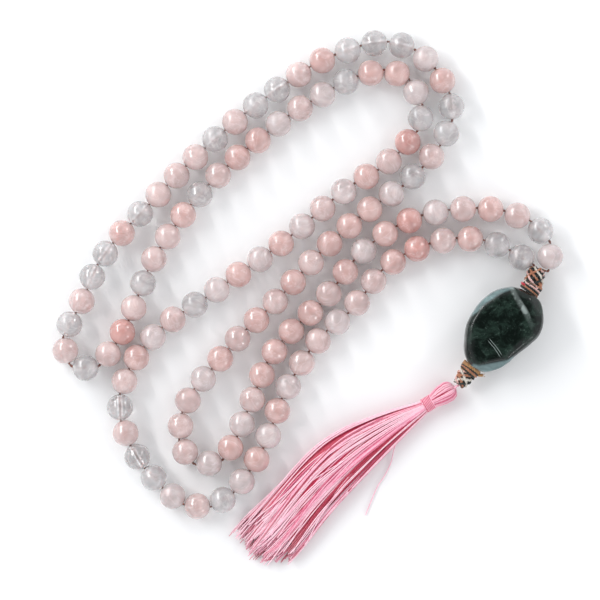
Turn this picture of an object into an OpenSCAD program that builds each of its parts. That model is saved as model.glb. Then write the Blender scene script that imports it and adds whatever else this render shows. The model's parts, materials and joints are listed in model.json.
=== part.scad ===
// Rose quartz mala: one closed strand of beads lying in folds on a flat surface, a drilled
// dark stone as the guru bead, two braided knots and a silk tassel.
// Millimetres, +Z up, z = 0 is the surface that the mala lies on.

/* [Beads] */
// Diameter of one bead
bead_d = 8; // [6:0.1:11]
// Free cord between neighbouring beads, where they are strung tightest
bead_gap = 0.06; // [0.05:0.01:0.3]
// Depth of the countersink at each bore mouth
sink_depth = 0.35; // [0.2:0.05:0.5]
// How much wider than the bore a countersink opens, on each side
sink_flare = 0.35; // [0.1:0.05:0.5]

/* [Cords] */
// Diameter of the stringing cord
cord_d = 0.8; // [0.5:0.05:1.1]
// Room around the stringing cord in a bead, on each side
cord_clearance = 0.15; // [0.08:0.01:0.3]
// Diameter of the doubled cord through the stone
core_d = 1.4; // [1:0.1:2.2]
// Room around the doubled cord in the stone, on each side
core_clearance = 0.15; // [0.08:0.01:0.3]

/* [Guru stone] */
// Length of the stone along its bore
stone_l = 28.5; // [20:0.1:36]
// Width of the stone
stone_w = 20.5; // [15:0.1:26]
// Thickness of the stone
stone_t = 12.5; // [10:0.1:16]
// Height of the bore over the surface
bore_z = 5.2; // [4.4:0.1:5.6]

/* [Knots] */
// Length of the braided upper knot
braid_l = 4.4; // [3:0.1:6]
// Diameter of the braided upper knot
braid_d = 5.4; // [4.4:0.1:6.2]
// Diameter of the wound collars beside the stone
collar_d = 6.5; // [5.2:0.1:7.8]
// Thickness of the cord that both collars are wound from
wrap_d = 0.9; // [0.7:0.05:1.1]
// Length of the lower knot
lower_l = 4.8; // [3.5:0.1:6]
// Diameter of the lower knot
lower_d = 5.3; // [4.2:0.1:6.4]
// Room between the stone and the collars
seat_gap = 0.2; // [0.1:0.05:0.4]

/* [Tassel] */
// Length of the folded silk head
head_l = 7.5; // [5:0.1:9.5]
// Diameter of the folded silk head
head_d = 6.6; // [5:0.1:7]
// Length of the binding around the neck
neck_l = 3.4; // [2.4:0.1:4.5]
// Diameter of the binding around the neck
neck_d = 4.8; // [4.2:0.1:6]
// Length of the silk skirt below the neck
skirt_l = 69; // [50:0.5:84]
// Greatest thickness of the skirt as it lies
skirt_t = 6.4; // [4.5:0.1:8]

/* [Hidden] */
bead_count = 116;
// One letter a bead from the guru round: C clear, M milky, B blush, R rose, D deep rose
TINTS = str("MCBRBMDRMRBRRRRBMRMBBBMRBRBRBRRRMCBCCRMCCCRBCCBCBBBCRCCBCB",
            "CBDBCBBRCBRRMBMCRRMCDBRMBMRMRMCBMRBCBCCMBCMRMRMBBMBBRDBRCC");
bead_r = bead_d / 2;
bead_bore_d = cord_d + 2 * cord_clearance;
core_bore_d = core_d + 2 * core_clearance;

// Places that the strand passes through, in order, for beads of LAID_BEAD_D strung LAID_GAP
// apart. Other bead sizes spread the same lay, so that neighbouring runs still lie side by side.
LAID_BEAD_D = 8;
LAID_GAP = 0.06;
lay = (bead_d + bead_gap) / (LAID_BEAD_D + LAID_GAP);
// Stretches that are strung looser: first bead, last bead (counted from 0), extra cord each
SLACK = [[0, 9, 0.34], [32, 42, 0.3], [77, 83, 0.2], [104, 114, 0.26]];
function slack(i) = max([for (s = SLACK) i >= s[0] && i <= s[1] ? s[2] : 0]) * lay;
function pitch(i) = bead_d + bead_gap + slack(i);
ROUTE = [
    [74, 12], [71, 20], [64, 24.5], [47, 26.5], [30, 22.5], [16.5, 13], [6.5, 0.5],
    [-10, -17], [-20, -39.5], [-23.5, -46.5], [-30, -51], [-37.5, -47], [-38.5, -39],
    [-25.5, -18], [-9, -1], [7.5, 16.5], [20.5, 27.5], [27, 32], [39, 44], [43.5, 52.5],
    [43.5, 61], [39.5, 68], [34, 74], [26, 77], [10, 74], [-11, 61.5], [-30, 46], [-47.5, 28.5],
    [-63, 10.5], [-69.5, -3.5], [-73, -10.5], [-73, -18.5], [-66, -22], [-60, -17],
    [-56, -10.5], [-46.5, 11.5], [-33, 30.5], [-15.5, 47], [5, 61.5], [20, 68], [28, 67.5],
    [33.5, 61.5], [34.5, 53.5], [30, 46], [10, 31], [-8.5, 15.5], [-28, 1.5], [-46.5, -12],
    [-51.5, -18], [-57, -33], [-55.5, -41], [-47.5, -54.5], [-34, -64], [-26.5, -62.5],
    [-15.5, -50], [-6, -28], [3, -14], [14, -3.5], [25, 9.5], [31.5, 13.5], [48.5, 17.5],
    [65, 12], [70, 8]
];
// Where the two ends of the stringing cord come together above the upper knot
MEETING = [70, 8];
STEPS = 10;

function unit(v) = v / norm(v);
function heading(v) = atan2(v[1], v[0]);
function ahead(angle) = [cos(angle), sin(angle)];
function aside(angle) = [-sin(angle), cos(angle)];

// A smooth curve through points of uneven spacing, each with a speed fitted to its neighbours
function speed(p, i) =
    i == 0 ? unit(p[1] - p[0]) :
    i == len(p) - 1 ? unit(p[i] - p[i - 1]) :
    let (back = norm(p[i] - p[i - 1]), on = norm(p[i + 1] - p[i]))
    ((p[i] - p[i - 1]) / back * on + (p[i + 1] - p[i]) / on * back) / (back + on);
function between(p, i, t) =
    let (h = norm(p[i + 1] - p[i]), u = 1 - t)
    p[i] * (u * u * (1 + 2 * t)) + speed(p, i) * (h * t * u * u)
    + p[i + 1] * (t * t * (3 - 2 * t)) - speed(p, i + 1) * (h * t * t * u);
function smooth_line(p) = concat(
    [for (i = [0 : len(p) - 2]) for (k = [0 : STEPS - 1]) between(p, i, k / STEPS)],
    [p[len(p) - 1]]);

// The next bead: the first place on the line that is one pitch from the last bead
function leaving(from, a, b, reach) =
    let (d = b - a, w = a - from, half = d * w, span = d * d)
    a + d * ((-half + sqrt(half * half - span * (w * w - reach * reach))) / span);
function next_bead(line, from, i, reach) =
    i >= len(line) - 2 || norm(line[i + 1] - from) >= reach
        ? [leaving(from, line[i], line[i + 1], reach), i]
        : next_bead(line, from, i + 1, reach);
function string_up(line, from, i, last) =
    last == bead_count - 1 ? [] :
    let (hit = next_bead(line, from, i, pitch(last)))
    concat([hit[0]], string_up(line, hit[0], hit[1], last + 1));

laid = [for (p = ROUTE) p * lay];
strand_line = smooth_line(laid);
meeting = MEETING * lay;
beads = concat([laid[0]], string_up(strand_line, laid[0], 0, 0));
function bead_or_end(i) = i < 0 || i >= bead_count ? meeting : beads[i];

// Each bead turns about its middle until its bore halves the bend of the cord through it
SETTLING = 0.2;
SETTLE_PASSES = 20;
function bisector(a, i) =
    let (reach = bead_r - sink_depth,
         before = beads[i] - beads[i - 1] - (a[i] + a[i - 1]) * reach,
         after = beads[i + 1] - beads[i] - (a[i + 1] + a[i]) * reach)
    unit(unit(before) + unit(after));
function settled(a, passes) =
    passes == 0 ? a :
    settled([for (i = [0 : bead_count - 1])
        i == 0 || i == bead_count - 1 ? a[i]
            : unit(a[i] * (1 - SETTLING) + bisector(a, i) * SETTLING)], passes - 1);
axes = settled([for (i = [0 : bead_count - 1]) unit(bead_or_end(i + 1) - bead_or_end(i - 1))],
               SETTLE_PASSES);

// Two folds of the strand lift off the surface. Each is given as the first bead past its fold
// line and the last one before it, counted from 0.
LOWER_FOLD = [14, 23];
LEFT_FOLD = [54, 61];
// How far over the cord a fold line lies, so that neighbouring beads roll clear of each other
FOLD_RISE = 1;
// Cut in the stringing cord at a fold line
FOLD_CUT = 0.1;
function gap_middle(i) = (beads[i - 1] + beads[i]) / 2;

// The pendant: upper knot, stone, lower knot and tassel, each on its own heading
BRAID_HEADING = 255;
STONE_HEADING = 233;
HEAD_HEADING = 212;
SKIRT_HEADING = 221.5;
LEG_L = 0.8;
LEG_GAP = 0.35;
BRAID_START = 0.9;
CORE_START = 0.6;
CORE_IN_KNOT = 0.6;
WRAP_TURNS = 3;
END_D = 0.9;
END_L = 1.5;
END_RISE = 0.8;
wrap_step = wrap_d * 0.8;
wrap_l = wrap_d + (WRAP_TURNS - 1) * wrap_step;
SEAT_DEPTH = 0.5;
LOOP_GAP = 0.3;
LOOP_L = 0.7;
LOOP_D = 1.2;
LOOP_CLEARANCE = 0.12;
HEAD_Z = 3.6;
loop_z = (bore_z + HEAD_Z) / 2;
NECK_LAP = 0.2;

wraps_at = meeting + ahead(BRAID_HEADING) * (BRAID_START + braid_l);
stone_at = wraps_at + ahead(STONE_HEADING) * (wrap_l + seat_gap - SEAT_DEPTH);
collar_at = stone_at + ahead(STONE_HEADING) * (stone_l - SEAT_DEPTH + seat_gap);
lower_at = collar_at + ahead(STONE_HEADING) * wrap_l;
loop_at = lower_at + ahead(STONE_HEADING) * (lower_l + LOOP_GAP);
head_at = loop_at + ahead(HEAD_HEADING) * (LOOP_L + 2 * LOOP_GAP);
skirt_at = head_at + ahead(HEAD_HEADING) * (head_l + neck_l - NECK_LAP);

// Outline of the stone seen from above, as shares of its length along the bore and its width
STONE_OUTLINE = [
    [0.01, -0.02], [0.03, -0.15], [0.08, -0.28], [0.2, -0.41], [0.36, -0.48], [0.53, -0.49],
    [0.71, -0.43], [0.87, -0.3], [0.95, -0.2], [1, -0.07], [1, 0.06], [0.96, 0.2],
    [0.85, 0.33], [0.73, 0.39], [0.63, 0.41], [0.46, 0.48], [0.31, 0.51],
    [0.16, 0.44], [0.04, 0.28], [0, 0.13]
];
// Layers of the stone: share of its thickness, and size of its outline there
STONE_LAYERS = [[0, 0.62], [0.1, 0.84], [0.35, 0.99], [0.6, 1], [0.88, 0.87], [1, 0.66]];
STONE_MIDDLE = [0.5, 0.01];

// Stations of the skirt: share of its length, edge beside the strand, outer edge, share of
// its thickness, height of its underside over the surface
SKIRT = [
    [0, -1.9, 1.9, 0.6, 1.6], [0.06, -4, 2.5, 0.68, 1], [0.12, -6.4, 3, 0.8, 0.5],
    [0.25, -10, 3.6, 0.95, 0.15], [0.38, -13.2, 4.3, 1, 0.15], [0.52, -14, 5.6, 0.98, 0.15],
    [0.65, -13, 6.4, 0.9, 0.15], [0.8, -12, 7.6, 0.78, 0.15], [0.9, -11, 8.6, 0.66, 0.15],
    [0.97, -9.5, 8, 0.55, 0.15], [1, -6, 5, 0.35, 0.15]
];
SKIRT_SIDES = 24;

// A loose silk thread beside the skirt, as places beyond the neck: along and outward
STRAY = [[13, -1], [16, 3], [19, 6], [23, 8], [27, 9], [31.5, 11], [35.5, 13]];
STRAY_D = 0.5;
STRAY_Z = 0.4;

// The origin is under the middle of the box around everything
skirt_places = [for (s = SKIRT) for (edge = [s[1], s[2]])
    skirt_at + ahead(SKIRT_HEADING) * (s[0] * skirt_l) + aside(SKIRT_HEADING) * edge];
xs = [for (b = beads) b[0]];
ys = [for (b = beads) b[1]];
skirt_ys = [for (p = skirt_places) p[1]];
low_x = min(xs) - bead_r;
high_x = max(xs) + bead_r;
high_y = max(ys) + bead_r;
low_y = min(min(ys) - bead_r, min(skirt_ys));
origin = [(low_x + high_x) / 2, (low_y + high_y) / 2];

function two(n) = n < 10 ? str("00", n) : n < 100 ? str("0", n) : str(n);
function single_name(i) = str("bead_", two(i + 1));
function group_name(g) = str("beads_", two(g[0] + 1), "_to_", two(g[1] + 1));
// Beads next to the guru are single nodes, and the others are strung in short groups
SINGLE_RUN = 10;
singles = concat([for (i = [0 : SINGLE_RUN - 1]) i],
                 [for (i = [bead_count - SINGLE_RUN : bead_count - 1]) i]);
GROUPS = concat(
    [[10, 13], [14, 18], [19, 23], [24, 27], [28, 31], [32, 35], [36, 39], [40, 43], [44, 48],
     [49, 53], [54, 57], [58, 61]],
    [for (k = [0 : 10]) [62 + 4 * k, 65 + 4 * k]]);

function tint(i) =
    TINTS[i] == "C" ? [0.80, 0.80, 0.80] :
    TINTS[i] == "M" ? [0.84, 0.79, 0.79] :
    TINTS[i] == "B" ? [0.85, 0.75, 0.74] :
    TINTS[i] == "R" ? [0.85, 0.70, 0.68] : [0.80, 0.60, 0.58];

module placed() {
    translate([-origin[0], -origin[1], 0]) children();
}

// Lays a piece made along +Z down from a place, pointing along a heading and rising if asked
module laid_along(at, z, angle, rise = 0) {
    placed() translate([at[0], at[1], z]) rotate([0, 0, angle]) rotate([0, 90 - rise, 0])
        children();
}

module bead(i) {
    bore_r = bead_bore_d / 2;
    color(tint(i)) laid_along(beads[i], bead_r, heading(axes[i])) difference() {
        sphere(d = bead_d, $fn = 64);
        cylinder(d = bead_bore_d, h = 2 * bead_d, center = true, $fn = 32);
        for (end = [0, 1])
            mirror([0, 0, end])
                translate([0, 0, bead_r - sink_depth])
                    cylinder(r1 = bore_r, r2 = bore_r + 2 * sink_flare, h = 2 * sink_depth,
                             $fn = 32);
    }
}

module beads_from(g) {
    for (i = [g[0] : g[1]]) bead(i);
}

// The cord runs straight through each bore and bends only between the mouths
function mouth(i, side) = beads[i] + axes[i] * (side * (bead_r - sink_depth));
function cord_through(first, last) =
    [for (i = [first : last]) for (side = [-1, 1]) mouth(i, side)];
function toward(from, to, distance) = from + unit(to - from) * distance;
function short_of(first, i) =
    let (middle = (mouth(first - 1, 1) + mouth(first, -1)) / 2)
    toward(middle, mouth(i, i < first ? 1 : -1), FOLD_CUT / 2);

// A round cord along points that lie at one height: its rings stand square to the bends
CORD_SIDES = 8;
function ring(p, i, r, z) =
    let (before = i == 0 ? unit(p[1] - p[0]) : unit(p[i] - p[i - 1]),
         after = i == len(p) - 1 ? before : unit(p[i + 1] - p[i]),
         along = unit(before + after),
         side = [-along[1], along[0]],
         stretch = 1 / max(along * before, 0.5))
    [for (k = [0 : CORD_SIDES - 1])
        let (a = (k + 0.5) * 360 / CORD_SIDES)
        [p[i][0] + side[0] * r * cos(a) * stretch, p[i][1] + side[1] * r * cos(a) * stretch,
         z + r * sin(a)]];
module cord(p, d, z) {
    n = CORD_SIDES;
    rings = [for (i = [0 : len(p) - 1]) each ring(p, i, d / 2, z)];
    walls = [for (i = [0 : len(p) - 2]) for (k = [0 : n - 1])
        let (a = i * n + k, b = i * n + (k + 1) % n)
        each [[a, b, a + n], [b, b + n, a + n]]];
    caps = [[for (k = [n - 1 : -1 : 0]) k],
            [for (k = [0 : n - 1]) (len(p) - 1) * n + k]];
    polyhedron(rings, concat(walls, caps));
}

// Between the meeting and the nearest bead on each side the cord bends clear of the bead
function rim(i, side) =
    beads[i] + axes[i] * (side * (bead_r + cord_d / 2 + cord_clearance));
function leg_end(i, side) = toward(meeting, rim(i, side), LEG_L + LEG_GAP);
module stringing_cord() {
    color([0.62, 0.45, 0.38]) placed() {
        cord(concat([leg_end(0, -1), rim(0, -1)], cord_through(0, LOWER_FOLD[0] - 1),
                    [short_of(LOWER_FOLD[0], LOWER_FOLD[0] - 1)]), cord_d, bead_r);
        cord(concat([short_of(LOWER_FOLD[1] + 1, LOWER_FOLD[1] + 1)],
                    cord_through(LOWER_FOLD[1] + 1, LEFT_FOLD[0] - 1),
                    [short_of(LEFT_FOLD[0], LEFT_FOLD[0] - 1)]), cord_d, bead_r);
        cord(concat([short_of(LEFT_FOLD[1] + 1, LEFT_FOLD[1] + 1)],
                    cord_through(LEFT_FOLD[1] + 1, bead_count - 1),
                    [rim(bead_count - 1, 1), leg_end(bead_count - 1, 1)]), cord_d, bead_r);
    }
}
module cord_in_fold(fold) {
    color([0.62, 0.45, 0.38]) placed()
        cord(concat([short_of(fold[0], fold[0])], cord_through(fold[0], fold[1]),
                    [short_of(fold[1] + 1, fold[1])]), cord_d, bead_r);
}

// The two ends of the stringing cord, coming together above the knot
module cord_legs() {
    color([0.62, 0.45, 0.38]) placed()
        cord([toward(meeting, rim(0, -1), LEG_L), meeting,
              toward(meeting, rim(bead_count - 1, 1), LEG_L)], cord_d, bead_r);
}

// The braid rises from the height of the strand's cord to that of the stone's bore
BRAID_OUTLINE = [[0, 0.36], [0.22, 0.66], [0.45, 0.88], [0.64, 1], [0.77, 1], [1, 0.6]];
module upper_knot_braid() {
    reach = BRAID_START + braid_l;
    rise = atan2(bore_z - bead_r, reach);
    color([0.30, 0.26, 0.22]) difference() {
        laid_along(meeting, bead_r, BRAID_HEADING, rise)
            translate([0, 0, BRAID_START]) rotate_extrude($fn = 48) polygon(concat(
                [[0, 0]], [for (p = BRAID_OUTLINE) [p[1] * braid_d / 2, p[0] * braid_l]],
                [[0, braid_l]]));
        laid_along(wraps_at, bore_z, STONE_HEADING) {
            translate([0, 0, -CORE_START]) cylinder(d = core_d, h = 3 * CORE_START, $fn = 32);
            cylinder(d = 2 * braid_d, h = braid_l, $fn = 48);
        }
    }
}

// Turns of cord wound side by side, tight around the doubled cord
module wound_collar() {
    r = collar_d / 2 - wrap_d / 2;
    rotate_extrude($fn = 64) {
        translate([core_d / 2, 0]) square([r - core_d / 2, wrap_l]);
        for (k = [0 : WRAP_TURNS - 1])
            translate([r, wrap_d / 2 + k * wrap_step]) circle(d = wrap_d, $fn = 32);
    }
}
module upper_knot_wraps() {
    color([0.55, 0.40, 0.26]) laid_along(wraps_at, bore_z, STONE_HEADING) wound_collar();
}
// A cut cord end tucked into a collar, lying beside its turns
module cord_end(at, side, start) {
    laid_along(at + aside(STONE_HEADING) * (side * (collar_d / 2 + END_D * 0.3)), bore_z + END_RISE,
               STONE_HEADING)
        translate([0, 0, start]) cylinder(d = END_D, h = END_L, $fn = 24);
}
module red_thread_end() {
    color([0.78, 0.10, 0.22]) difference() {
        cord_end(wraps_at, -1, 0);
        laid_along(wraps_at, bore_z, STONE_HEADING)
            translate([0, 0, -END_L]) cylinder(d = collar_d, h = 4 * END_L, $fn = 64);
    }
}

module stone_outline(size, lift, height) {
    translate([0, 0, lift]) linear_extrude(height = height)
        polygon([for (p = STONE_OUTLINE)
            [((p[0] - STONE_MIDDLE[0]) * size + STONE_MIDDLE[0]) * stone_l,
             ((p[1] - STONE_MIDDLE[1]) * size + STONE_MIDDLE[1]) * stone_w]]);
}
LAYER_T = 0.02;
module guru_stone() {
    far = stone_l - SEAT_DEPTH;
    color([0.10, 0.16, 0.14]) difference() {
        placed() translate([stone_at[0], stone_at[1], 0])
            rotate([0, 0, STONE_HEADING]) hull()
                for (s = STONE_LAYERS)
                    stone_outline(s[1], s[0] * (stone_t - LAYER_T), LAYER_T);
        laid_along(stone_at, bore_z, STONE_HEADING) {
            translate([0, 0, -stone_l]) cylinder(d = core_bore_d, h = 3 * stone_l, $fn = 48);
            translate([0, 0, SEAT_DEPTH - stone_t])
                cylinder(d = collar_d + 1, h = stone_t, $fn = 48);
            translate([0, 0, far]) cylinder(d = collar_d + 1, h = stone_t, $fn = 48);
        }
    }
}

// The doubled cord runs from inside the braid, through stone and collars, into the lower knot
module guru_cord() {
    from = wraps_at - ahead(STONE_HEADING) * CORE_START;
    color([0.16, 0.14, 0.12]) laid_along(from, bore_z, STONE_HEADING)
        cylinder(d = core_d, h = norm(lower_at - from) + lower_l * CORE_IN_KNOT, $fn = 32);
}
module lower_wrap_collar() {
    color([0.65, 0.48, 0.28]) laid_along(collar_at, bore_z, STONE_HEADING) wound_collar();
}
module collar_cord_end() {
    color([0.60, 0.42, 0.26]) difference() {
        cord_end(collar_at, 1, wrap_l - END_L);
        laid_along(collar_at, bore_z, STONE_HEADING)
            translate([0, 0, -END_L]) cylinder(d = collar_d, h = 4 * END_L, $fn = 64);
    }
}
LOWER_OUTLINE = [[0, 0.7], [0.2, 1], [0.75, 1], [1, 0.55]];
module lower_knot() {
    color([0.30, 0.26, 0.22]) laid_along(lower_at, bore_z, STONE_HEADING) difference() {
        rotate_extrude($fn = 48) polygon(concat(
            [[0, 0]], [for (p = LOWER_OUTLINE) [p[1] * lower_d / 2, p[0] * lower_l]],
            [[0, lower_l]]));
        translate([0, 0, -1]) cylinder(d = core_d, h = lower_l * CORE_IN_KNOT + 1, $fn = 32);
        translate([bore_z - loop_z, 0, lower_l + LOOP_GAP])
            sphere(d = LOOP_D + 2 * LOOP_CLEARANCE, $fn = 32);
    }
}

module tassel_loop() {
    color([0.85, 0.45, 0.55]) laid_along(loop_at, loop_z, HEAD_HEADING) {
        sphere(d = LOOP_D, $fn = 32);
        cylinder(d = LOOP_D, h = LOOP_L, $fn = 32);
    }
}
HEAD_OUTLINE = [[0, 0.45], [0.1, 0.8], [0.35, 1], [0.65, 0.96]];
// The neck binding is wound from fine thread on the gathered silk
BINDING_D = 0.4;
BINDING_STEP = 0.42;
BINDING_EDGE = 0.25;
neck_r = neck_d / 2 - BINDING_D;
module tassel_head() {
    color([0.93, 0.55, 0.66]) laid_along(head_at, HEAD_Z, HEAD_HEADING)
        rotate_extrude($fn = 48) polygon(concat(
            [[0, 0]], [for (p = HEAD_OUTLINE) [p[1] * head_d / 2, p[0] * head_l]],
            [[neck_r, head_l], [neck_r, head_l + neck_l], [0, head_l + neck_l]]));
}
module tassel_neck_binding() {
    turns = round((neck_l - 2 * BINDING_EDGE) / BINDING_STEP);
    step = (neck_l - 2 * BINDING_EDGE - BINDING_D) / (turns - 1);
    color([0.88, 0.40, 0.55]) laid_along(head_at, HEAD_Z, HEAD_HEADING)
        translate([0, 0, head_l + BINDING_EDGE]) rotate_extrude($fn = 48) {
            translate([neck_r, 0]) square([BINDING_D / 2, neck_l - 2 * BINDING_EDGE]);
            for (k = [0 : turns - 1])
                translate([neck_d / 2 - BINDING_D / 2, BINDING_D / 2 + k * step])
                    circle(d = BINDING_D, $fn = 16);
        }
}

module tassel_skirt() {
    n = SKIRT_SIDES;
    points = [for (s = SKIRT)
        let (high = s[3] * skirt_t, middle = (s[1] + s[2]) / 2, half = (s[2] - s[1]) / 2)
        for (k = [0 : n - 1])
            let (a = k * 360 / n)
            [s[0] * skirt_l, middle + half * cos(a), s[4] + high / 2 * (1 + sin(a))]];
    walls = [for (i = [0 : len(SKIRT) - 2]) for (k = [0 : n - 1])
        let (a = i * n + k, b = i * n + (k + 1) % n)
        each [[a, a + n, b], [b, a + n, b + n]]];
    caps = [[for (k = [0 : n - 1]) k],
            [for (k = [n - 1 : -1 : 0]) (len(SKIRT) - 1) * n + k]];
    color([0.93, 0.63, 0.72]) placed() translate([skirt_at[0], skirt_at[1], 0])
        rotate([0, 0, SKIRT_HEADING]) polyhedron(points, concat(walls, caps));
}
module stray_thread() {
    color([0.93, 0.70, 0.78]) placed() translate([skirt_at[0], skirt_at[1], 0])
        rotate([0, 0, SKIRT_HEADING]) cord(STRAY, STRAY_D, STRAY_Z);
}

for (i = singles) bead(i);
for (g = GROUPS) beads_from(g);
stringing_cord();
cord_in_fold(LOWER_FOLD);  // cord_in_lower_fold
cord_in_fold(LEFT_FOLD);  // cord_in_left_fold
cord_legs();
upper_knot_braid();
upper_knot_wraps();
red_thread_end();
guru_stone();
guru_cord();
lower_wrap_collar();
collar_cord_end();
lower_knot();
tassel_loop();
tassel_head();
tassel_neck_binding();
tassel_skirt();
stray_thread();
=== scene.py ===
"""Looks of a rose quartz mala: quartz beads on a twisted cord, a polished guru stone between
two plaited knots, and a silk tassel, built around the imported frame."""

import json
import logging
import math
import random
from dataclasses import dataclass, field
from enum import Enum
from typing import Callable, Iterator, Sequence

import bmesh
import bpy
import numpy as np
from mathutils import Matrix, Vector, noise


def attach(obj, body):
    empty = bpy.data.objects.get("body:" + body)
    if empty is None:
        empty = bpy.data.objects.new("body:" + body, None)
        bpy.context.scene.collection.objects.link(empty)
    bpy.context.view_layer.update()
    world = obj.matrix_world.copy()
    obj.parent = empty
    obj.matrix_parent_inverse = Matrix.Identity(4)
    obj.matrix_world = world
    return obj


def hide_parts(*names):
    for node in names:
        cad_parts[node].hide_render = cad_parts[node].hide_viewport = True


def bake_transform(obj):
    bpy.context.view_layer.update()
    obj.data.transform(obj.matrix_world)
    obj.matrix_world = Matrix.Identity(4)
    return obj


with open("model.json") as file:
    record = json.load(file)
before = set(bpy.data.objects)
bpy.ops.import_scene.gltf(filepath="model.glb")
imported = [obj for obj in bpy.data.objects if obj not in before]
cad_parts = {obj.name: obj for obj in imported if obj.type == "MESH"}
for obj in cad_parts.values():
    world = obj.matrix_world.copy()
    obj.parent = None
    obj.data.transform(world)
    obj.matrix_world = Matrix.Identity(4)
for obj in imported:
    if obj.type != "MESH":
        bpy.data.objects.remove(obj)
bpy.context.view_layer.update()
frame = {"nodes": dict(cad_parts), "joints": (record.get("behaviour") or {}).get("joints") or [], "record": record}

MM = 0.001
UP = Vector((0, 0, 1))
Colour = tuple[float, float, float]
log = logging.getLogger("mala")


def heading(degrees: float) -> Vector:
    """Unit vector on the surface that points along a compass-like angle from +X."""
    return Vector((math.cos(math.radians(degrees)), math.sin(math.radians(degrees)), 0))


def across(along: Vector) -> Vector:
    """Unit vector on the surface, a quarter turn to the left of another one."""
    return UP.cross(along).normalized()


def colour(red: int, green: int, blue: int) -> Colour:
    """Scene-linear colour of three display values from 0 to 255.

    Args:
        red: Red value.
        green: Green value.
        blue: Blue value.

    Returns:
        The linear colour.
    """

    def linear(v: int) -> float:
        """Linear value of one display value."""
        c = v / 255
        return c / 12.92 if c <= 0.04045 else ((c + 0.055) / 1.055) ** 2.4
    return linear(red), linear(green), linear(blue)


def spoke(side: Vector, up: Vector, turn: float) -> Vector:
    """The direction at an angle from side towards up."""
    return side * math.cos(turn) + up * math.sin(turn)


def placed(name: str, data: bpy.types.ID) -> bpy.types.Object:
    """A new object in the scene.

    Args:
        name: Its name.
        data: Its mesh, light or camera.

    Returns:
        The object.
    """
    made = bpy.data.objects.new(name, data)
    bpy.context.scene.collection.objects.link(made)
    return made


def shell(name: str, points: Sequence, faces: Sequence[Sequence[int]]) -> bpy.types.Object:
    """A new object in the scene with a mesh of some points and faces.

    Args:
        name: Its name.
        points: The corners, in metres.
        faces: The corners' numbers of each face.

    Returns:
        The object.
    """
    mesh = bpy.data.meshes.new(name)
    mesh.from_pydata([tuple(p) for p in points], [], faces)
    mesh.update()
    return placed(name, mesh)


def smoothed(made: bpy.types.Object, crisp: float) -> None:
    """Shades an object smooth, apart from edges sharper than an angle in degrees."""
    made.data.shade_smooth()
    made.data.set_sharp_from_angle(angle=math.radians(crisp))


# --- shader maths


def _operator(operation: str, reflected: bool = False) -> Callable[["Flow", object], "Flow"]:
    """A method that adds one Math node of an operation.

    Args:
        operation: The node's operation.
        reflected: Whether the flow is the second value.

    Returns:
        The method.
    """

    def method(flow: "Flow", other: object) -> "Flow":
        """The flow and another value, put through the operation."""
        values = (other, flow) if reflected else (flow, other)
        return flow.shop.node("ShaderNodeMath", {"operation": operation}, dict(enumerate(values)))
    return method


class Flow:
    """A node's output in a Python expression: arithmetic on it adds Math nodes."""

    def __init__(self, shop: "Shop", socket: bpy.types.NodeSocket) -> None:
        """Wraps a socket of the shop's tree."""
        self.shop = shop
        self.socket = socket

    __add__, __radd__ = _operator("ADD"), _operator("ADD", True)
    __sub__, __rsub__ = _operator("SUBTRACT"), _operator("SUBTRACT", True)
    __mul__, __rmul__ = _operator("MULTIPLY"), _operator("MULTIPLY", True)

    def __abs__(self) -> "Flow":
        """Absolute value."""
        return self.shop.node("ShaderNodeMath", {"operation": "ABSOLUTE"}, {0: self})

    def band(self, low: float, high: float) -> "Flow":
        """Smooth step from 0 at low to 1 at high, also with high below low.

        Args:
            low: The value that gives 0.
            high: The value that gives 1.

        Returns:
            The step.
        """
        return self.shop.node(
            "ShaderNodeMapRange", {"interpolation_type": "SMOOTHSTEP"},
            {0: self, 1: low, 2: high, 3: 0.0, 4: 1.0})

    def bump(self, strength: float, distance: float) -> "Flow":
        """Normal of a surface raised by this value, 1 being a distance in metres."""
        return self.shop.node("ShaderNodeBump", {},
                              {"Strength": strength, "Distance": distance, "Height": self})


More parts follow.
